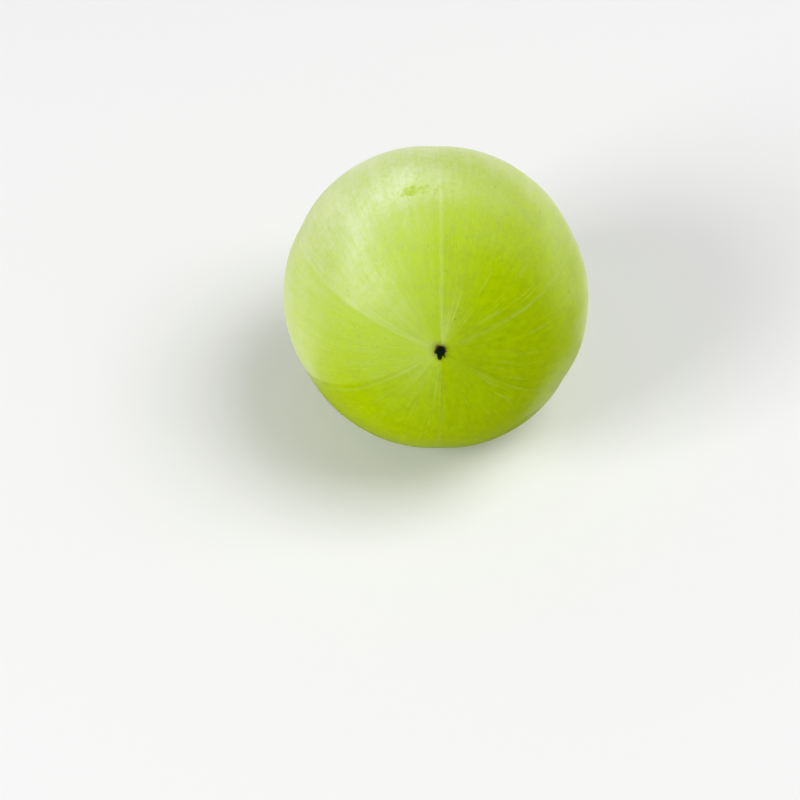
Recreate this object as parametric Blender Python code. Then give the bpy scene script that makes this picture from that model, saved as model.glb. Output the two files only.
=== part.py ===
"""Indian gooseberry: one whole picked fruit, lying on a small flat spot with its stem end turned up.

Metres, +Z up. The origin is the middle of the fruit's bounding box on the surface that it rests on.
In the fruit's own frame +Z runs from the blossom end to the stem end, and bearings round that axis
start at +X and pass the upper side at 90 degrees.
"""

import math

import bmesh
import bpy
import numpy as np
from mathutils import Matrix, Vector

# Driving dimensions
FRUIT_WIDTH = 0.030
AXIS_LEAN = math.radians(60.0)
RESTING_FLAT_DEPTH = 0.00034

# The lengthwise outline, as shares of half the width, and the angles from the stem end where they act
STEM_END_FLATTENING = 0.070
STEM_END_SPREAD = math.radians(17.0)
SHOULDER_FULLNESS = 0.045
SHOULDER_ANGLE = math.radians(37.0)
SHOULDER_SPREAD = math.radians(17.0)
BLOSSOM_END_TAPER = 0.090
TAPER_START = math.radians(92.0)
TAPER_END = math.radians(152.0)
BLOSSOM_NUB_RISE = 0.022
BLOSSOM_NUB_SPREAD = math.radians(12.0)

# The six furrows and the slightly oval girth
FURROW_BEARINGS = [math.radians(degrees) for degrees in (-152.0, -90.0, -30.0, 25.5, 89.0, 153.0)]
FURROW_DEPTH = 0.00021
FURROW_SHARPNESS = 1.7
FURROW_FADE_AT_ENDS = 0.65
GIRTH_OVAL_SHARE = 0.010
GIRTH_OVAL_BEARING = math.radians(128.0)

# The stalk pit and the dried calyx that sits in it
PIT_RADIUS = 0.00105
PIT_DEPTH = 0.00045
CALYX_LOBES = 6
CALYX_TIP_RADIUS = 0.00074
CALYX_WAIST_SHARE = 0.62
CALYX_LOBE_SHARPNESS = 1.5
CALYX_THICKNESS = 0.00036
CALYX_TIP_LIFT = 0.00016
CALYX_DISH_DEPTH = 0.00010
CALYX_DISH_SHARE = 0.45
CALYX_CLEARANCE = 0.00012

# Mesh fineness
FRUIT_SEGMENTS = 72
FRUIT_RINGS = 38
STEM_END_RING_CROWDING = 1.3
CALYX_SEGMENTS = 48
CALYX_RINGS = 12

HALF_WIDTH = FRUIT_WIDTH / 2
FURROW_COUNT = len(FURROW_BEARINGS)
SKIN_COLOUR = (0.50, 0.66, 0.06, 1.0)
CALYX_COLOUR = (0.10, 0.045, 0.015, 1.0)


def clear_scene():
    for obj in list(bpy.data.objects):
        bpy.data.objects.remove(obj)


def bell(distance, spread):
    """A smooth bump: 1 at distance 0, falling to 0 past about two spreads."""
    return math.exp(-((distance / spread) ** 2))


def smooth_step(value, start, end):
    share = min(max((value - start) / (end - start), 0.0), 1.0)
    return share * share * (3 - 2 * share)


def outline_share(polar):
    """The fruit's radius at an angle from the stem end, as a share of half its width."""
    return (
        1.0
        - STEM_END_FLATTENING * bell(polar, STEM_END_SPREAD)
        + SHOULDER_FULLNESS * bell(polar - SHOULDER_ANGLE, SHOULDER_SPREAD)
        - BLOSSOM_END_TAPER * smooth_step(polar, TAPER_START, TAPER_END)
        + BLOSSOM_NUB_RISE * bell(math.pi - polar, BLOSSOM_NUB_SPREAD)
    )


def furrow_at(turn):
    """From 0 on a lobe's crest to 1 on a furrow's line. A full turn is 1, and the furrows part it evenly."""
    return (1.0 - abs(math.sin(math.pi * FURROW_COUNT * turn))) ** FURROW_SHARPNESS


def bearing_at(turn):
    """The bearing at this share of a turn. The evenly spaced sixths fall on the real, uneven furrows."""
    stops = np.arange(FURROW_COUNT + 1) / FURROW_COUNT
    bearings = FURROW_BEARINGS + [FURROW_BEARINGS[0] + 2 * math.pi]
    return float(np.interp(turn % 1.0, stops, bearings))


def skin_point(polar, turn):
    """A point of the fruit's skin in its own frame."""
    bearing = bearing_at(turn)
    oval = math.cos(2 * (bearing - GIRTH_OVAL_BEARING)) * math.sin(polar) ** 2
    radius = HALF_WIDTH * outline_share(polar) * (1.0 + GIRTH_OVAL_SHARE * oval)
    radius -= FURROW_DEPTH * furrow_at(turn) * math.sin(polar) ** FURROW_FADE_AT_ENDS
    from_axis = radius * math.sin(polar)
    height = radius * math.cos(polar)
    if polar < math.pi / 2:
        height -= PIT_DEPTH * bell(from_axis, PIT_RADIUS) ** 2
    return Vector((from_axis * math.cos(bearing), from_axis * math.sin(bearing), height))


def shape_fruit(mesh):
    """Turns a unit sphere's rings and meridians into the fruit's, closer together towards the stem end."""
    for vert in mesh.verts:
        even_polar = math.acos(min(max(vert.co.z, -1.0), 1.0))
        polar = math.pi * (even_polar / math.pi) ** STEM_END_RING_CROWDING
        on_axis = math.hypot(vert.co.x, vert.co.y) < 1e-6
        turn = 0.0 if on_axis else math.atan2(vert.co.y, vert.co.x) / (2 * math.pi)
        vert.co = skin_point(polar, turn)


def cut_resting_flat(mesh, lean):
    """Takes a thin slice off the underside, square to the vertical, and closes it with one flat face."""
    down = lean.inverted() @ Vector((0.0, 0.0, -1.0))
    lowest = max(vert.co.dot(down) for vert in mesh.verts)
    plane_point = down * (lowest - RESTING_FLAT_DEPTH)
    bmesh.ops.bisect_plane(
        mesh,
        geom=mesh.verts[:] + mesh.edges[:] + mesh.faces[:],
        plane_co=plane_point,
        plane_no=down,
        clear_outer=True,
    )
    rim = [edge for edge in mesh.edges if edge.is_boundary]
    bmesh.ops.holes_fill(mesh, edges=rim)
    bmesh.ops.recalc_face_normals(mesh, faces=mesh.faces[:])


def calyx_point(x, y, z):
    """Where a unit sphere's point goes in the calyx: a dished button with pointed lobes that turn up."""
    bearing = math.atan2(y, x)
    towards_rim = math.hypot(x, y)
    lobe = abs(math.cos(CALYX_LOBES / 2 * bearing)) ** CALYX_LOBE_SHARPNESS
    tip_share = CALYX_WAIST_SHARE + (1.0 - CALYX_WAIST_SHARE) * lobe
    from_axis = CALYX_TIP_RADIUS * tip_share * towards_rim
    height = CALYX_THICKNESS / 2 * z
    height += CALYX_TIP_LIFT * (from_axis / CALYX_TIP_RADIUS) ** 2
    if z > 0:
        height -= CALYX_DISH_DEPTH * bell(towards_rim, CALYX_DISH_SHARE)
    return Vector((from_axis * math.cos(bearing), from_axis * math.sin(bearing), height))


def shape_calyx(mesh):
    for vert in mesh.verts:
        vert.co = calyx_point(*vert.co)


def new_object(name, mesh, collection, material):
    data = bpy.data.meshes.new(name)
    mesh.to_mesh(data)
    mesh.free()
    data.materials.append(material)
    data.shade_smooth()
    data.set_sharp_from_angle(angle=math.radians(40.0))
    obj = bpy.data.objects.new(name, data)
    collection.objects.link(obj)
    return obj


def new_material(name, colour, roughness):
    material = bpy.data.materials.new(name)
    material.use_nodes = True
    shader = material.node_tree.nodes["Principled BSDF"]
    shader.inputs["Base Color"].default_value = colour
    shader.inputs["Roughness"].default_value = roughness
    shader.inputs["Metallic"].default_value = 0.0
    return material


def make_fruit(collection, lean):
    """The whole fleshy fruit with its skin, one piece as it grew."""
    mesh = bmesh.new()
    bmesh.ops.create_uvsphere(mesh, u_segments=FRUIT_SEGMENTS, v_segments=FRUIT_RINGS, radius=1.0)
    shape_fruit(mesh)
    cut_resting_flat(mesh, lean)
    return new_object("fruit", mesh, collection, new_material("skin", SKIN_COLOUR, 0.35))


def make_calyx(collection):
    """The dried six-lobed calyx round the stalk scar."""
    mesh = bmesh.new()
    bmesh.ops.create_uvsphere(mesh, u_segments=CALYX_SEGMENTS, v_segments=CALYX_RINGS, radius=1.0)
    shape_calyx(mesh)
    return new_object("calyx", mesh, collection, new_material("dried_calyx", CALYX_COLOUR, 0.8))


def calyx_seat():
    """The height on the axis where the calyx's middle sits, clear of the pit's floor."""
    return skin_point(0.0, 0.0).z + CALYX_CLEARANCE + CALYX_THICKNESS / 2


def place_on_surface(carrier, fruit, lean):
    """Sets the carrier so that the fruit's box is centred over the origin, with its flat on the surface."""
    corners = np.array([lean @ vert.co for vert in fruit.data.vertices])
    low, high = corners.min(axis=0), corners.max(axis=0)
    carrier.location = (-(low[0] + high[0]) / 2, -(low[1] + high[1]) / 2, -low[2])
    carrier.rotation_euler = lean.to_euler()


def main():
    clear_scene()
    collection = bpy.data.collections.new("indian_gooseberry")
    bpy.context.scene.collection.children.link(collection)
    lean = Matrix.Rotation(AXIS_LEAN, 3, "X")

    fruit = make_fruit(collection, lean)
    calyx = make_calyx(collection)
    calyx.location.z = calyx_seat()

    fruit_axis = bpy.data.objects.new("fruit_axis", None)
    collection.objects.link(fruit_axis)
    place_on_surface(fruit_axis, fruit, lean)
    fruit.parent = fruit_axis
    calyx.parent = fruit_axis
    bpy.context.view_layer.update()


main()
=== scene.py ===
"""The looks of a whole Indian gooseberry, on a plain pale table in soft studio light.

The fruit's own axis runs from the blossom end to the stem end. Polar angles are measured from the stem
end, and bearings go round the axis from +X, passing the upper side at 90 degrees.
"""

import math

import bmesh
import bpy
import numpy as np
from mathutils import Matrix, Vector


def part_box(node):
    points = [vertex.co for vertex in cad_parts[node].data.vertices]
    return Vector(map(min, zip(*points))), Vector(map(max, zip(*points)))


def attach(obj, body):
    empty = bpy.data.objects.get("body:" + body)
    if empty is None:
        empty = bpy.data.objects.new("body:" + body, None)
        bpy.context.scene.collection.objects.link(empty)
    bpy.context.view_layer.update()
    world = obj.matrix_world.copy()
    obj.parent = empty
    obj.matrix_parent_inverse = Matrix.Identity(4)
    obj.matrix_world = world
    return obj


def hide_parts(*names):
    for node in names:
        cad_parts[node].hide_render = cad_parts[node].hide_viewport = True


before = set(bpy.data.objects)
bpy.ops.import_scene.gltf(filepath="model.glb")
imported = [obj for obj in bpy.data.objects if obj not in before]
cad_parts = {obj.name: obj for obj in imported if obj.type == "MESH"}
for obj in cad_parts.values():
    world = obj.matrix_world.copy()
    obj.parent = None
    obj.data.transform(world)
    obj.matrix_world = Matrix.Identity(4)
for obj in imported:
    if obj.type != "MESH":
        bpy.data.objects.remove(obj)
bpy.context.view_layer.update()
FRUIT_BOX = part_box("fruit")

# Driving dimensions, as on the solid fruit
HALF_WIDTH = 0.015
AXIS_LEAN = math.radians(60.0)
STEM_END_FLATTENING = 0.070
STEM_END_SPREAD = math.radians(17.0)
SHOULDER_FULLNESS = 0.045
SHOULDER_ANGLE = math.radians(37.0)
SHOULDER_SPREAD = math.radians(17.0)
BLOSSOM_END_TAPER = 0.090
TAPER_START = math.radians(92.0)
TAPER_END = math.radians(152.0)
BLOSSOM_NUB_RISE = 0.022
BLOSSOM_NUB_SPREAD = math.radians(12.0)
FURROW_DEGREES = (-152.0, -90.0, -30.0, 25.5, 89.0, 153.0)
FURROW_COUNT = len(FURROW_DEGREES)
FURROW_DEPTH = 0.00021
FURROW_SHARPNESS = 1.7
FURROW_FADE_AT_ENDS = 0.65
GIRTH_OVAL_SHARE = 0.010
GIRTH_OVAL_BEARING = math.radians(128.0)
PIT_RADIUS = 0.00105
PIT_DEPTH = 0.00045

# The skin's slow swells
UNEVENNESS_DEPTH = 0.00005
UNEVENNESS_SIZE = 0.0045

# The dried calyx: a torn disc round the stalk's scar. Each torn tip: bearing, half width in degrees, reach
CALYX_TIPS = (
    (122, 34, 0.00072),
    (84, 8, 0.00060),
    (40, 32, 0.00060),
    (1, 12, 0.00062),
    (-52, 14, 0.00074),
    (-95, 40, 0.00079),
    (-166, 30, 0.00057),
)
TIP_STEPS = 3
TIP_NARROWING = 0.86
CALYX_WAIST = 0.00048
CALYX_WALL = 0.00007
CALYX_GAP = 0.00005
SCAR_INSETS = (0.00007, 0.00009, 0.00010)
SCAR_DEPTH = 0.00011
CRINKLE_DEPTH = 0.00007
CRINKLE_SIZE = 0.00014

# Fineness of the cages, and how often they are subdivided
MERIDIANS = 96
RINGS = 48
RING_CROWDING = 1.3
CALYX_SIDES = 72
SUBDIVISIONS = 2

# A vertex nearer to the axis than this is a pole, and places closer together than a hair count as one
POLE_RADIUS = 1e-7
HAIR = 1e-8

# The camera, and where the photograph shows the fruit
PHOTO_SIDE = 800
FRUIT_MIDDLE_PIXEL = (436.0, 297.0)
FRUIT_WIDTH_PIXELS = 305.0
CAMERA_ELEVATION = math.radians(54.3)
CAMERA_TURN = math.radians(1.1)
LENS = 100.0
SENSOR = 36.0
FOCAL_PIXELS = LENS / SENSOR * PHOTO_SIDE
CAMERA_NEAR_LIMIT = 0.01
FIRST_DISTANCE = 0.22
FRAMING_ROUNDS = 12


def deselect_all():
    if bpy.context.object and bpy.context.object.mode != "OBJECT":
        bpy.ops.object.mode_set(mode="OBJECT")
    bpy.ops.object.select_all(action="DESELECT")


def make_active(piece):
    deselect_all()
    piece.select_set(True)
    bpy.context.view_layer.objects.active = piece


def start_editing(piece):
    make_active(piece)
    bpy.ops.object.mode_set(mode="EDIT")
    bpy.ops.mesh.select_mode(type="VERT")


def pick(piece, is_wanted):
    """In edit mode, selects just the vertices that pass the test."""
    cage = bmesh.from_edit_mesh(piece.data)
    for vert in cage.verts:
        vert.select_set(is_wanted(vert))
    cage.select_flush_mode()
    bmesh.update_edit_mesh(piece.data)


def groups_by(piece, key):
    """The numbers of the vertices, grouped by a key worked out from each one's place."""
    groups = {}
    for vert in piece.data.vertices:
        groups.setdefault(key(vert.co), set()).add(vert.index)
    return groups


def apply_modifier(piece, kind, **settings):
    modifier = piece.modifiers.new(kind.title(), kind)
    for name, value in settings.items():
        setattr(modifier, name, value)
    make_active(piece)
    bpy.ops.object.modifier_apply(modifier=modifier.name)


def subdivide(piece):
    apply_modifier(piece, "SUBSURF", levels=SUBDIVISIONS, render_levels=SUBDIVISIONS)


def make_uneven(piece, name, size, depth):
    """Gives the surface lumps of this size, half of them inwards and half outwards."""
    pattern = bpy.data.textures.new(name, "CLOUDS")
    pattern.noise_scale = size
    apply_modifier(piece, "DISPLACE", texture=pattern, strength=depth, mid_level=0.5)


def bell(distance, spread):
    return math.exp(-((distance / spread) ** 2))


def smooth_step(value, start, end):
    share = min(max((value - start) / (end - start), 0.0), 1.0)
    return share * share * (3 - 2 * share)


def outline_share(polar):
    """The fruit's radius at a polar angle, as a share of half its width."""
    return (
        1.0
        - STEM_END_FLATTENING * bell(polar, STEM_END_SPREAD)
        + SHOULDER_FULLNESS * bell(polar - SHOULDER_ANGLE, SHOULDER_SPREAD)
        - BLOSSOM_END_TAPER * smooth_step(polar, TAPER_START, TAPER_END)
        + BLOSSOM_NUB_RISE * bell(math.pi - polar, BLOSSOM_NUB_SPREAD)
    )


def profile_point(polar):
    """Distance from the axis and height of the outline, with the stalk pit at the stem end."""
    radius = HALF_WIDTH * outline_share(polar)
    from_axis = radius * math.sin(polar)
    pit = PIT_DEPTH * bell(from_axis, PIT_RADIUS) ** 2 if polar < math.pi / 2 else 0.0
    return from_axis, radius * math.cos(polar) - pit


def furrow_at(turn):
    """From 0 on a lobe's crest to 1 on a furrow's line, a full turn being 1."""
    return (1.0 - abs(math.sin(math.pi * FURROW_COUNT * turn))) ** FURROW_SHARPNESS


def bearing_at(turn):
    """The bearing at a share of a full turn: the even sixths fall on the uneven furrows."""
    stops = np.arange(FURROW_COUNT + 1) / FURROW_COUNT
    degrees = FURROW_DEGREES + (FURROW_DEGREES[0] + 360.0,)
    return math.radians(float(np.interp(turn % 1.0, stops, degrees)))


def polar_of(place):
    return math.atan2(math.hypot(place.x, place.y), place.z)


def ring_of(place):
    return round(polar_of(place) / math.pi * RINGS)


def meridian_of(place):
    """The number of the meridian that a place lies on, and none for a pole."""
    if math.hypot(place.x, place.y) < POLE_RADIUS:
        return None
    return round(math.atan2(place.y, place.x) / math.tau * MERIDIANS) % MERIDIANS


def draw_outline(fruit):
    """Widens and slides the sphere's rings on to the fruit's outline, closer together at the stem end."""
    for ring, numbers in groups_by(fruit, ring_of).items():
        even_polar = math.pi * ring / RINGS
        from_axis, height = profile_point(math.pi * (ring / RINGS) ** RING_CROWDING)
        widening = from_axis / (HALF_WIDTH * math.sin(even_polar)) if 0 < ring < RINGS else 1.0
        start_editing(fruit)
        pick(fruit, lambda vert: vert.index in numbers)
        bpy.ops.transform.resize(value=(widening, widening, 1.0), center_override=(0, 0, 0))
        bpy.ops.transform.translate(value=(0, 0, height - HALF_WIDTH * math.cos(even_polar)))
        bpy.ops.object.mode_set(mode="OBJECT")


def part_into_lobes(fruit):
    """Turns the meridians so that every sixteenth lies on a real furrow, then presses the furrows in."""
    weights = fruit.vertex_groups.new(name="furrows")
    for meridian, numbers in groups_by(fruit, meridian_of).items():
        if meridian is None:
            continue
        turn = meridian / MERIDIANS
        for number in numbers:
            fade = math.sin(polar_of(fruit.data.vertices[number].co)) ** FURROW_FADE_AT_ENDS
            weights.add([number], furrow_at(turn) * fade, "REPLACE")
        start_editing(fruit)
        pick(fruit, lambda vert: vert.index in numbers)
        # With no window, a positive turn goes clockwise
        bpy.ops.transform.rotate(value=math.tau * turn - bearing_at(turn), orient_axis="Z",
                                 center_override=(0, 0, 0))
        bpy.ops.object.mode_set(mode="OBJECT")
    apply_modifier(fruit, "DISPLACE", strength=-FURROW_DEPTH, mid_level=0.0, vertex_group="furrows")


def make_girth_oval(fruit):
    widest, narrowest = 1 + GIRTH_OVAL_SHARE, 1 - GIRTH_OVAL_SHARE
    start_editing(fruit)
    bpy.ops.mesh.select_all(action="SELECT")
    bpy.ops.transform.rotate(value=GIRTH_OVAL_BEARING, orient_axis="Z", center_override=(0, 0, 0))
    bpy.ops.transform.resize(value=(widest, narrowest, 1), center_override=(0, 0, 0))
    bpy.ops.transform.rotate(value=-GIRTH_OVAL_BEARING, orient_axis="Z", center_override=(0, 0, 0))
    bpy.ops.object.mode_set(mode="OBJECT")


def lay_down(fruit):
    """Leans the fruit over and sets it in the solid fruit's box. Returns the middle of its axis."""
    fruit.rotation_euler.x = AXIS_LEAN
    make_active(fruit)
    bpy.ops.object.transform_apply(location=False, rotation=True, scale=False)
    places = np.array([vert.co for vert in fruit.data.vertices])
    low, high = places.min(axis=0), places.max(axis=0)
    middle = (FRUIT_BOX[0] + FRUIT_BOX[1]) / 2
    fruit.location.x = middle.x - (low[0] + high[0]) / 2
    fruit.location.y = middle.y - (low[1] + high[1]) / 2
    fruit.location.z = FRUIT_BOX[1].z - high[2]
    axis_middle = fruit.location.copy()
    bpy.ops.object.transform_apply(location=True, rotation=False, scale=False)
    return axis_middle


def press_resting_flat(fruit):
    start_editing(fruit)
    pick(fruit, lambda vert: vert.co.z < 0)
    bpy.ops.transform.resize(value=(1, 1, 0), center_override=(0, 0, 0))
    bpy.ops.object.mode_set(mode="OBJECT")


def model_fruit():
    """The whole fruit, from a sphere with its poles at the stem end and the blossom end."""
    deselect_all()
    bpy.ops.mesh.primitive_uv_sphere_add(segments=MERIDIANS, ring_count=RINGS, radius=HALF_WIDTH)
    fruit = bpy.context.object
    fruit.name = "fruit_flesh_and_skin"
    draw_outline(fruit)
    part_into_lobes(fruit)
    make_girth_oval(fruit)
    subdivide(fruit)
    make_uneven(fruit, "slow_swells", UNEVENNESS_SIZE, UNEVENNESS_DEPTH)
    axis_middle = lay_down(fruit)
    press_resting_flat(fruit)
    make_active(fruit)
    bpy.ops.object.shade_smooth()
    return fruit, axis_middle


def skin_height(from_axis):
    """How high the skin lies on the fruit's axis, near the stem end, at this distance from the axis."""
    polar = from_axis / (HALF_WIDTH * outline_share(0.0))
    return profile_point(polar)[1]


def press_in_scar():
    """Presses the selected disc's middle in, ring by ring, and closes it with a fan of triangles."""
    for thickness in SCAR_INSETS:
        bpy.ops.mesh.inset(thickness=thickness)
        bpy.ops.transform.translate(value=(0, 0, -SCAR_DEPTH / len(SCAR_INSETS)))
    bpy.ops.mesh.poke()


def draw_out_tip(calyx, waist_height, degrees, half_width, reach):
    """Draws a stretch of the calyx's rim out to a narrow tip that lies a hair above the skin."""
    outwards = Vector((math.cos(math.radians(degrees)), math.sin(math.radians(degrees)), 0))
    edge_reach = CALYX_WAIST * math.cos(math.radians(half_width))
    pick(calyx, lambda vert: vert.is_boundary and vert.co.z < waist_height + HAIR
         and vert.co.dot(outwards) > edge_reach - HAIR)
    edge = outwards * edge_reach + Vector((0, 0, waist_height))
    end = outwards * reach + Vector((0, 0, skin_height(reach) + 2 * CALYX_GAP))
    vanishing_point = edge + (end - edge) / (1 - TIP_NARROWING ** TIP_STEPS)
    for _ in range(TIP_STEPS):
        bpy.ops.mesh.extrude_region_move()
        bpy.ops.transform.resize(value=(TIP_NARROWING,) * 3, center_override=vanishing_point)


def model_calyx(axis_middle):
    """The dried calyx in the stalk pit, from a disc."""
    deselect_all()
    bpy.ops.mesh.primitive_circle_add(vertices=CALYX_SIDES, radius=CALYX_WAIST, fill_type="NGON")
    calyx = bpy.context.object
    calyx.name = "dried_calyx"
    waist_height = skin_height(CALYX_WAIST) + CALYX_GAP
    start_editing(calyx)
    bpy.ops.mesh.select_all(action="SELECT")
    bpy.ops.transform.translate(value=(0, 0, waist_height))
    press_in_scar()
    for degrees, half_width, reach in CALYX_TIPS:
        draw_out_tip(calyx, waist_height, degrees, half_width, reach)
    bpy.ops.object.mode_set(mode="OBJECT")
    apply_modifier(calyx, "SOLIDIFY", thickness=CALYX_WALL, offset=1.0)
    subdivide(calyx)
    make_uneven(calyx, "dried_crinkles", CRINKLE_SIZE, CRINKLE_DEPTH)
    calyx.rotation_euler.x = AXIS_LEAN
    calyx.location = axis_middle
    make_active(calyx)
    bpy.ops.object.transform_apply(location=True, rotation=True, scale=False)
    bpy.ops.object.shade_smooth()
    return calyx


class Wire:
    """A shader socket that can be used in Python expressions, each operator adding its node."""

    def __init__(self, painter, socket):
        self.painter = painter
        self.socket = socket

    def _math(self, operation, *others):
        return self.painter.node("ShaderNodeMath", {"operation": operation}, [self, *others])

    def __add__(self, other):
        return self._math("ADD", other)

    def __radd__(self, other):
        return self._math("ADD", other)

    def __sub__(self, other):
        return self._math("SUBTRACT", other)

    def __rsub__(self, other):
        return self.painter.node("ShaderNodeMath", {"operation": "SUBTRACT"}, [other, self])

    def __mul__(self, other):
        return self._math("MULTIPLY", other)

    def __rmul__(self, other):
        return self._math("MULTIPLY", other)

    def __truediv__(self, other):
        return self._math("DIVIDE", other)

    def __abs__(self):
        return self._math("ABSOLUTE")

    def root(self):
        return self._math("SQRT")

    def turned_from(self, across):
        """The angle of the point (across, self), anticlockwise from +X."""
        return self._math("ARCTAN2", across)

    def least(self, other):
        return self._math("MINIMUM", other)

    def eased(self, start, end, low=0.0, high=1.0):
        """Goes smoothly from low at start to high at end."""
        return self.painter.node("ShaderNodeMapRange", {"interpolation_type": "SMOOTHSTEP"},
                                 {"Value": self, "From Min": start, "From Max": end,
                                  "To Min": low, "To Max": high})


class Painter:
    """Builds one material's nodes."""

    # A colour Mix node's sockets: its share, its two colours and its result
    MIX_SHARE, MIX_FIRST, MIX_SECOND, MIX_RESULT = 0, 6, 7, 2

    def __init__(self, name):
        self.material = bpy.data.materials.new(name)
        self.material.use_nodes = True
        self.nodes = self.material.node_tree.nodes
        self.links = self.material.node_tree.links
        self.shader = self.nodes["Principled BSDF"]

    def node(self, kind, settings=None, inputs=(), output=0):
        made = self.nodes.new(kind)
        for name, value in (settings or {}).items():
            if name == "stops":
                self.set_stops(made.color_ramp, value)
            else:
                setattr(made, name, value)
        pairs = inputs.items() if isinstance(inputs, dict) else enumerate(inputs)
        for key, value in pairs:
            self.feed(made.inputs[key], value)
        return Wire(self, made.outputs[output])

    def set_stops(self, ramp, stops):
        while len(ramp.elements) > 1:
            ramp.elements.remove(ramp.elements[-1])
        for place, value in stops:
            ramp.elements.new(place).color = (value, value, value, 1.0)
        ramp.elements.remove(ramp.elements[0])

    def feed(self, socket, value):
        if isinstance(value, Wire):
            self.links.new(value.socket, socket)
        else:
            socket.default_value = value

    def finish_with(self, **finishes):
        """Sets the shader's own sockets, named in lower case with underscores for spaces."""
        for name, value in finishes.items():
            socket = next(s for s in self.shader.inputs if s.name.lower().replace(" ", "_") == name)
            self.feed(socket, value)

    def own_frame(self, place, turn):
        """Object coordinates, centred and turned as the piece was."""
        here = self.node("ShaderNodeTexCoord", {}, [], "Object")
        return self.node("ShaderNodeMapping", {"vector_type": "TEXTURE"},
                         {"Vector": here, "Location": place, "Rotation": turn})

    def parts(self, vector):
        made = self.node("ShaderNodeSeparateXYZ", {}, [vector])
        return [Wire(self, socket) for socket in made.socket.node.outputs]

    def joined(self, *parts):
        return self.node("ShaderNodeCombineXYZ", {}, parts)

    def mix(self, share, first, second):
        return self.node("ShaderNodeMix", {"data_type": "RGBA"},
                         {self.MIX_SHARE: share, self.MIX_FIRST: first, self.MIX_SECOND: second},
                         self.MIX_RESULT)

    def noise(self, place, scale, detail, roughness):
        return self.node("ShaderNodeTexNoise", {}, {"Vector": place, "Scale": scale, "Detail": detail,
                                                    "Roughness": roughness})

    def bump(self, height, strength):
        return self.node("ShaderNodeBump", {}, {"Strength": strength, "Distance": BUMP_DEPTH,
                                                "Height": height})


def colour(red, green, blue):
    return (red, green, blue, 1.0)


WHITE = colour(1, 1, 1)
BLACK = colour(0, 0, 0)
BUMP_DEPTH = 0.00003

# The skin's colours: the clear deep skin, and the milky one where pale tissue lies close under it, which
# also paints the highlight on the upper left and the sheen near the rim
DEEP_SKIN = colour(0.484, 0.660, 0.0005)
MILKY_SKIN_AND_PAINTED_HIGHLIGHT = colour(0.880, 0.930, 0.640)

# How light and how milky the skin is, on rings at growing angles from the stem end. Each bracket is one
# lobe, from its first furrow round to the next, with its values spread evenly over it. The lightness is
# partly the lobes' own tone and partly painted light and shade: the lobes that face the key light on the
# upper left are lighter, and those turned to the lower right and the lower rim are darker.
LOBE_EDGES = (-155.5, -90.0, -30.0, 25.5, 89.0, 153.0)
TONE_AND_PAINTED_SHADING_RINGS = (
    (30, ((0.92, 0.90, 0.86), (0.81, 0.76), (0.75, 0.79), (0.81, 0.93), (0.99, 1.00, 1.01), (1.02, 0.98))),
    (66, ((0.90, 0.82, 0.80), (0.80, 0.76), (0.78, 0.90), (0.91, 1.06), (1.07, 0.96, 0.92), (1.00, 0.99))),
    (84, ((0.90, 0.82, 0.80), (0.80, 0.90), (1.00, 0.94), (0.94, 1.06), (1.07, 0.96, 0.92), (1.00, 0.99))),
)
# The milkiness is partly pale tissue under the skin and partly painted highlight: it is strongest on the
# upper-left lobes, in the arc where the windows' gloss lies, and it grows towards the rim as painted sheen.
MILKINESS_AND_PAINTED_HIGHLIGHT_RINGS = (
    (9, ((0.10, 0.04, 0), (0, 0), (0, 0), (0, 0.01, 0.09), (0.04, 0.04, 0.11, 0.12), (0.09, 0.09))),
    (24, ((0.02, 0), (0, 0), (0, 0), (0, 0, 0.05), (0.07, 0.11, 0.25, 0.24), (0.13, 0.07))),
    (36, ((0, 0), (0, 0), (0, 0), (0, 0, 0.06), (0.07, 0.20, 0.46, 0.38), (0.19, 0.02))),
    (52, ((0.01, 0), (0, 0.01), (0, 0.02), (0.01, 0.06, 0.14), (0.15, 0.28, 0.40, 0.30), (0.22, 0.09))),
    (66, ((0.02, 0), (0, 0.02), (0, 0.04), (0.05, 0.16, 0.32), (0.40, 0.57, 0.34), (0.26, 0.16))),
    (110, ((0.08, 0.06), (0.06, 0.08), (0.10, 0.12), (0.14, 0.26), (0.26, 0.22), (0.18, 0.12))),
)
STEP_WIDTH_DEGREES = 0.4

# Painted light near the stem end, lifting the shade that the pit and calyx cast there: between which
# distances from the axis that ends, and how light
PAINTED_LIGHT_AT_STEM_END = (0.0008, 0.0030, 1.07, 1.0)

# How strong the pale line along each furrow is, from the first furrow on, between which distances from
# its middle it ends, and between which distances from the axis the lines set in
LINE_STRENGTHS = (0.04, 0.02, 0.01, 0.035, 0.11, 0.11)
LINE_EDGE = (0.00004, 0.00028)
LINES_START = (0.0005, 0.0030)

# Pale rays that run out from the stem end, as bearing in degrees and how milky, and between which
# distances from the axis they end
RAYS = (
    (-180, 0.02), (-160, 0.05), (-150, 0.08), (-141, 0.02), (-132, 0.08), (-127, 0.02), (-118, 0.06),
    (-108, 0.01), (-96, 0.10), (-88, 0.03), (-84, 0.0), (-30, 0.01), (5, 0.0), (20, 0.02), (29, 0.02),
    (33, 0.01), (48, 0.01), (54, 0.06), (58, 0.01), (66, 0.09), (76, 0.16), (84, 0.11), (90, 0.0),
    (125, 0.02), (150, 0.08), (158, 0.04), (180, 0.02),
)
RAY_FADE = (0.0006, 0.0062)

# A small notch in the painted highlight on the upper side, where the green skin shows through the painted
# reflection: bearing and polar angle of its middle, half its width and height, how ragged it is, and where
# its edge starts and ends
MARK_PLACE = (math.radians(98.0), math.radians(63.5))
MARK_SIZE = (math.radians(8.5), math.radians(2.8))
MARK_RAGGEDNESS = 7.0
MARK_EDGE = (3.2, 4.8)
MARK_CLEARNESS = 0.80

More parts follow.
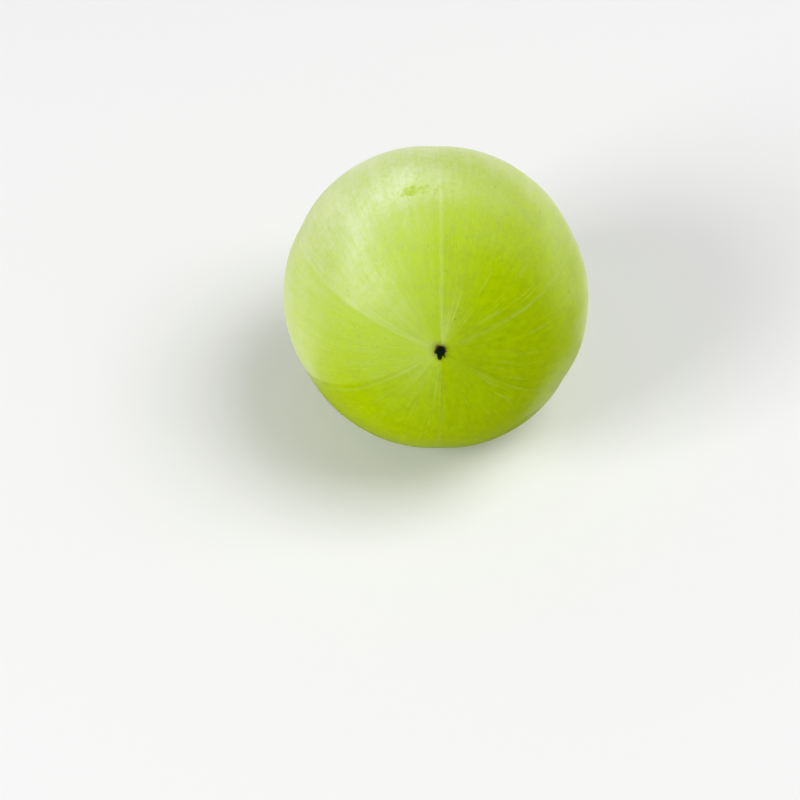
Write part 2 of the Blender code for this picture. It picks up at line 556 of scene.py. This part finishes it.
# Patterns drawn out along the meridians: how fast they change lengthwise, scale, detail, roughness, and
# the values of the noise between which the pattern rises from 0 to 1
FINE_FIBRES = (0.17, 48.0, 3.0, 0.65, 0.36, 0.68)
BROAD_FIBRES = (0.15, 14.0, 2.0, 0.5, 0.35, 0.65)
LONG_FIBRES = (0.12, 34.0, 2.0, 0.5, 0.57, 0.71)
STREAKS = (0.05, 26.0, 3.0, 0.7, 0.40, 0.62)
DASHES = (0.6, 60.0, 2.0, 0.5, 0.54, 0.70)

# Patterns that run no way in particular: scale, detail, roughness, and the same two values
BLOTCHES = (260.0, 2.0, 0.5, 0.3, 0.7)
GRAINS = (1500.0, 3.0, 0.65, 0.38, 0.66)
SPECKS = (2300.0, 0.0, 0.5, 0.82, 0.88)

# Plain noise, as scale, detail and roughness: what the fibres wander by, and what frays the green mark
WANDER = (420.0, 2.0, 0.5)
WANDER_SHARE = 0.025
FRAYS = (1100.0, 3.0, 0.7)

# The calyx's colours, the half width and height of its dark middle, and how far that lies off the axis
CALYX_DARK = colour(0.004, 0.014, 0.005)
CALYX_BROWN = colour(0.18, 0.085, 0.008)
CALYX_TAN = colour(0.50, 0.38, 0.10)
DARK_MIDDLE = (0.00050, 0.00072)
DARK_MIDDLE_SHIFT = 0.00010
FLECKS = (9000.0, 2.0, 0.6)


def share_of_turn(degrees):
    return (degrees + 180.0) / 360.0


def lobe_stops(values_by_lobe):
    """Ramp stops that step at each lobe's edges and go smoothly through the values within it."""
    places, values = [], []
    for lobe, within in enumerate(values_by_lobe):
        first = LOBE_EDGES[lobe] + STEP_WIDTH_DEGREES
        last = (LOBE_EDGES + (LOBE_EDGES[0] + 360.0,))[lobe + 1] - STEP_WIDTH_DEGREES
        places += list(np.linspace(first, last, len(within)))
        values += within
    across = float(np.interp(180.0, places, values))
    wrapped = [(place - 360.0 if place > 180.0 else place, value) for place, value in zip(places, values)]
    stops = [(-180.0, across), (180.0, across)] + wrapped
    return sorted((share_of_turn(place), value) for place, value in stops)


class SkinPlace:
    """Where each point of the skin lies in the fruit's own frame, and patterns that follow from that."""

    def __init__(self, skin, axis_middle):
        self.skin = skin
        self.own = skin.own_frame(axis_middle, (AXIS_LEAN, 0, 0))
        x, y, z = skin.parts(self.own)
        self.from_axis = (x * x + y * y).root()
        self.polar = self.from_axis.turned_from(z)
        self.bearing = y.turned_from(x)
        wander = skin.noise(self.own, *WANDER)
        self.cosine = x / self.from_axis + WANDER_SHARE * wander
        self.sine = y / self.from_axis + WANDER_SHARE * wander

    def lengthwise(self, change, scale, detail, roughness, start, end):
        place = self.skin.joined(self.cosine, self.sine, self.polar * change)
        return self.skin.noise(place, scale, detail, roughness).eased(start, end)

    def scattered(self, scale, detail, roughness, start, end):
        return self.skin.noise(self.own, scale, detail, roughness).eased(start, end)

    def round_the_axis(self, stops):
        around = self.bearing / math.tau + 0.5
        return self.skin.node("ShaderNodeValToRGB", {"stops": stops}, [around])

    def over_the_skin(self, rings):
        """Ramps round the axis, blended from each ring to the next."""
        start, values_by_lobe = rings[0]
        blended = self.round_the_axis(lobe_stops(values_by_lobe))
        for end, values_by_lobe in rings[1:]:
            ring = self.round_the_axis(lobe_stops(values_by_lobe))
            blended = blended + self.polar.eased(math.radians(start), math.radians(end)) * (ring - blended)
            start = end
        return blended


def furrow_lines(place, broad_fibres):
    """The six pale lines, thin and uneven."""
    gaps = [abs(place.bearing - math.radians(degrees)) * place.from_axis for degrees in FURROW_DEGREES]
    lines = [gap.eased(*LINE_EDGE, strength, 0.0) for gap, strength in zip(gaps, LINE_STRENGTHS)]
    return sum(lines[1:], lines[0]) * place.from_axis.eased(*LINES_START) * (0.55 + 0.45 * broad_fibres)


def stem_end_rays(place, streaks):
    """Pale rays that fade out at uneven distances from the stem end."""
    rays = place.round_the_axis([(share_of_turn(degrees), value) for degrees, value in RAYS])
    return rays * (place.from_axis / (0.55 + 0.9 * streaks)).eased(*RAY_FADE, 1.0, 0.0)


def notch_in_painted_highlight(place):
    """How far the painted highlight and the coat are cleared at a small notch in the highlight's arc."""
    across = (place.bearing - MARK_PLACE[0]) / MARK_SIZE[0]
    along = (place.polar - MARK_PLACE[1]) / MARK_SIZE[1]
    frays = place.skin.noise(place.own, *FRAYS)
    out = across * across + along * along + MARK_RAGGEDNESS * frays
    return out.eased(*MARK_EDGE, MARK_CLEARNESS, 0.0)


def paint_skin(axis_middle):
    """Thin clear skin over deep green flesh, with pale milky tissue and fibres close under it. Painted light
    and shade lie in the lobes' tone, and a painted highlight and painted rim sheen lie in the milkiness.
    """
    skin = Painter("fruit_skin")
    place = SkinPlace(skin, axis_middle)
    fine_fibres = place.lengthwise(*FINE_FIBRES)
    broad_fibres = place.lengthwise(*BROAD_FIBRES)
    long_fibres = place.lengthwise(*LONG_FIBRES)
    streaks = place.lengthwise(*STREAKS)
    dashes = place.lengthwise(*DASHES)
    blotches = place.scattered(*BLOTCHES)
    grains = place.scattered(*GRAINS)
    specks = place.scattered(*SPECKS)

    # The lobes' tone carries painted light and shade, and the stem end carries painted light
    tone_and_painted_shading = place.over_the_skin(TONE_AND_PAINTED_SHADING_RINGS) * place.from_axis.eased(*PAINTED_LIGHT_AT_STEM_END)
    shade = 1.06 - 0.07 * fine_fibres - 0.09 * grains - 0.2 * specks
    deep = skin.mix(tone_and_painted_shading * shade, BLACK, DEEP_SKIN)

    # A small notch in the painted highlight's arc, where the coat's gloss is cleared too
    clear = notch_in_painted_highlight(place)
    # Milkiness, with the painted highlight on the upper-left lobes and painted sheen near the rim
    milkiness_and_painted_highlight = place.over_the_skin(MILKINESS_AND_PAINTED_HIGHLIGHT_RINGS)
    texture = 0.35 * fine_fibres + 0.45 * grains + 0.30 * broad_fibres + 0.40 * blotches
    whiteness_and_painted_highlight = milkiness_and_painted_highlight * (0.50 + 0.62 * texture) * (1.0 - clear) + milkiness_and_painted_highlight.least(0.08) * dashes
    whiteness_and_painted_highlight = whiteness_and_painted_highlight + stem_end_rays(place, streaks) * (0.25 + 1.3 * streaks)
    whiteness_and_painted_highlight = whiteness_and_painted_highlight + furrow_lines(place, broad_fibres) + 0.04 * long_fibres

    skin.finish_with(
        base_color=skin.mix(whiteness_and_painted_highlight, deep, MILKY_SKIN_AND_PAINTED_HIGHLIGHT),
        roughness=0.45,
        normal=skin.bump(fine_fibres * 0.5 + broad_fibres * 0.5 + grains * 0.6, 0.12),
        ior=1.4,
        specular_ior_level=0.1,
        subsurface_weight=1.0,
        subsurface_radius=(1.0, 1.0, 0.3),
        subsurface_scale=0.0022,
        coat_weight=(0.52 + 0.30 * texture) * (1.0 - clear),
        coat_roughness=0.34,
        sheen_weight=0.10,
        sheen_roughness=0.30,
    )
    return skin.material


def paint_calyx(axis_middle):
    """Blackish green in the middle, brown at the rim and tan at the tips."""
    dried = Painter("dried_calyx")
    own = dried.own_frame(axis_middle, (AXIS_LEAN, 0, 0))
    x, y, _ = dried.parts(own)
    flecks = dried.noise(own, *FLECKS)
    across, along = x / DARK_MIDDLE[0], (y + DARK_MIDDLE_SHIFT) / DARK_MIDDLE[1]
    outwards = (across * across + along * along).root() + flecks.eased(0.35, 0.65, -0.18, 0.18)
    base = dried.mix(outwards.eased(0.88, 1.02), CALYX_DARK, CALYX_BROWN)
    base = dried.mix(outwards.eased(1.10, 1.40), base, CALYX_TAN)
    dried.finish_with(base_color=base, roughness=0.85, normal=dried.bump(flecks, 0.6),
                      specular_ior_level=0.15)
    return dried.material


# Lamps that face the fruit, as name, bearing, elevation, size and radiance. The first light its form,
# and the windows are seen only in the skin's gloss.
LAMPS = (
    ("key_left", 208.0, 33.0, (0.30, 0.30), 9.0),
    ("fill_right", 0.0, 60.0, (0.45, 0.45), 4.6),
)
WINDOWS = (
    ("window_behind", 116.0, 27.5, (0.60, 0.18), 4.5),
    ("window_left", 156.0, 27.0, (0.36, 0.16), 4.5),
)
SKY_TINT = (0.72, 0.88, 1.35)
LAMP_DISTANCE = 0.7

# The table's own shine, seen only in the gloss near the fruit's rim: name, middle, size and radiance
TABLE_SHINES = (
    ("shine_behind", (0.0, 0.491), (1.2, 0.900), 1.1),
    ("shine_top", (-0.003, 0.0345), (0.026, 0.013), 1.0),
    ("shine_left", (-0.0605, 0.0185), (0.089, 0.045), 0.8),
    ("shine_right", (0.070, 0.0255), (0.080, 0.031), 0.5),
    ("shine_close", (0.020, 0.022), (0.020, 0.038), 0.9),
    ("shine_below", (0.019, -0.004), (0.014, 0.012), 0.35),
)
SHINE_HEIGHT = 0.0004

ROOM_BRIGHTNESS = 0.30
BACKDROP_BRIGHTNESS = 1.0
TABLE_RADIUS = 1.5
TABLE_SIDES = 96
TABLE_WHITE = colour(0.9, 0.9, 0.9)


def area_light(name, place, facing, size, radiance):
    """A rectangular light at a place, facing a direction, as bright as its radiance says."""
    data = bpy.data.lights.new(name, "AREA")
    data.shape = "RECTANGLE"
    data.size, data.size_y = size
    data.energy = radiance * math.pi * size[0] * size[1]
    lamp = bpy.data.objects.new(name, data)
    bpy.context.scene.collection.objects.link(lamp)
    lamp.location = place
    lamp.rotation_mode = "QUATERNION"
    lamp.rotation_quaternion = facing.to_track_quat("-Z", "Y")
    return lamp


def softbox(name, bearing, elevation, size, radiance):
    """A light that faces the fruit, seen from it at a bearing from +X and an elevation."""
    turn, rise = math.radians(bearing), math.radians(elevation)
    direction = Vector((math.cos(turn) * math.cos(rise), math.sin(turn) * math.cos(rise), math.sin(rise)))
    place = direction * LAMP_DISTANCE + Vector((0, 0, HALF_WIDTH))
    return area_light(name, place, -direction, size, radiance)


def light_room():
    """A dim even light from all round, in front of a white backdrop that only the camera sees."""
    world = bpy.data.worlds.new("pale_room")
    bpy.context.scene.world = world
    world.cycles_visibility.glossy = False
    world.use_nodes = True
    nodes, links = world.node_tree.nodes, world.node_tree.links
    nodes.clear()
    room = nodes.new("ShaderNodeBackground")
    room.inputs["Color"].default_value = WHITE
    room.inputs["Strength"].default_value = ROOM_BRIGHTNESS
    backdrop = nodes.new("ShaderNodeBackground")
    backdrop.inputs["Color"].default_value = WHITE
    backdrop.inputs["Strength"].default_value = BACKDROP_BRIGHTNESS
    seen = nodes.new("ShaderNodeLightPath")
    mixer = nodes.new("ShaderNodeMixShader")
    output = nodes.new("ShaderNodeOutputWorld")
    links.new(seen.outputs["Is Camera Ray"], mixer.inputs["Fac"])
    links.new(room.outputs[0], mixer.inputs[1])
    links.new(backdrop.outputs[0], mixer.inputs[2])
    links.new(mixer.outputs[0], output.inputs["Surface"])


def light_studio():
    """A key light on the left, a fill on the right, and windows and shines that only show as soft gloss."""
    for name, bearing, elevation, size, radiance in LAMPS:
        softbox(name, bearing, elevation, size, radiance).visible_glossy = False
    for name, bearing, elevation, size, radiance in WINDOWS:
        window = softbox(name, bearing, elevation, size, radiance)
        window.data.color = SKY_TINT
        window.visible_diffuse = False
    for name, (x, y), size, radiance in TABLE_SHINES:
        shine = area_light(name, (x, y, SHINE_HEIGHT), Vector((0, 0, 1)), size, radiance)
        shine.visible_diffuse = False
        shine.visible_camera = False
    light_room()


def lay_table():
    deselect_all()
    bpy.ops.mesh.primitive_circle_add(vertices=TABLE_SIDES, radius=TABLE_RADIUS, fill_type="NGON",
                                      location=(0, 0, 0))
    table = bpy.context.object
    table.name = "table"
    paint = Painter("table_white")
    paint.finish_with(base_color=TABLE_WHITE, roughness=0.9, specular_ior_level=0.1)
    table.data.materials.append(paint.material)
    table.visible_glossy = False


def camera_axes():
    """Right, up and back of a camera that looks down on the fruit from the front."""
    flat = math.cos(CAMERA_ELEVATION)
    back = Vector((-math.sin(CAMERA_TURN) * flat, -math.cos(CAMERA_TURN) * flat, math.sin(CAMERA_ELEVATION)))
    right = Vector((0, 0, 1)).cross(back).normalized()
    return right, back.cross(right), back


def outline_in_frame(points, middle, distance, axes):
    """Where the fruit's outline lies in the photograph's frame: middle and width in pixels."""
    right, up, back = (np.array(axis) for axis in axes)
    from_camera = points - (middle + back * distance)
    depth = -(from_camera @ back)
    across = PHOTO_SIDE / 2 + FOCAL_PIXELS * (from_camera @ right) / depth
    down = PHOTO_SIDE / 2 - FOCAL_PIXELS * (from_camera @ up) / depth
    return (across.min() + across.max()) / 2, (down.min() + down.max()) / 2, across.max() - across.min()


def place_camera(fruit):
    """Frames the fruit as the photograph does: same width, same place in the picture."""
    axes = camera_axes()
    right, up, back = (np.array(axis) for axis in axes)
    points = np.array([vert.co for vert in fruit.data.vertices])
    middle = np.array([0.0, 0.0, HALF_WIDTH])
    distance = FIRST_DISTANCE
    for _ in range(FRAMING_ROUNDS):
        across, down, width = outline_in_frame(points, middle, distance, axes)
        distance *= width / FRUIT_WIDTH_PIXELS
        middle += right * (across - FRUIT_MIDDLE_PIXEL[0]) * distance / FOCAL_PIXELS
        middle -= up * (down - FRUIT_MIDDLE_PIXEL[1]) * distance / FOCAL_PIXELS
    data = bpy.data.cameras.new("camera")
    data.lens, data.sensor_width = LENS, SENSOR
    data.clip_start = CAMERA_NEAR_LIMIT
    camera = bpy.data.objects.new("camera", data)
    bpy.context.scene.collection.objects.link(camera)
    camera.location = middle + back * distance
    camera.rotation_euler = Matrix(axes).transposed().to_euler()
    bpy.context.scene.camera = camera


def finish_piece(piece, material, node):
    piece.data.materials.append(material)
    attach(piece, "root")
    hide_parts(node)


fruit, axis_middle = model_fruit()
calyx = model_calyx(axis_middle)
finish_piece(fruit, paint_skin(axis_middle), "fruit")
finish_piece(calyx, paint_calyx(axis_middle), "calyx")
lay_table()
light_studio()
place_camera(fruit)
bpy.context.scene.view_settings.view_transform = "Standard"
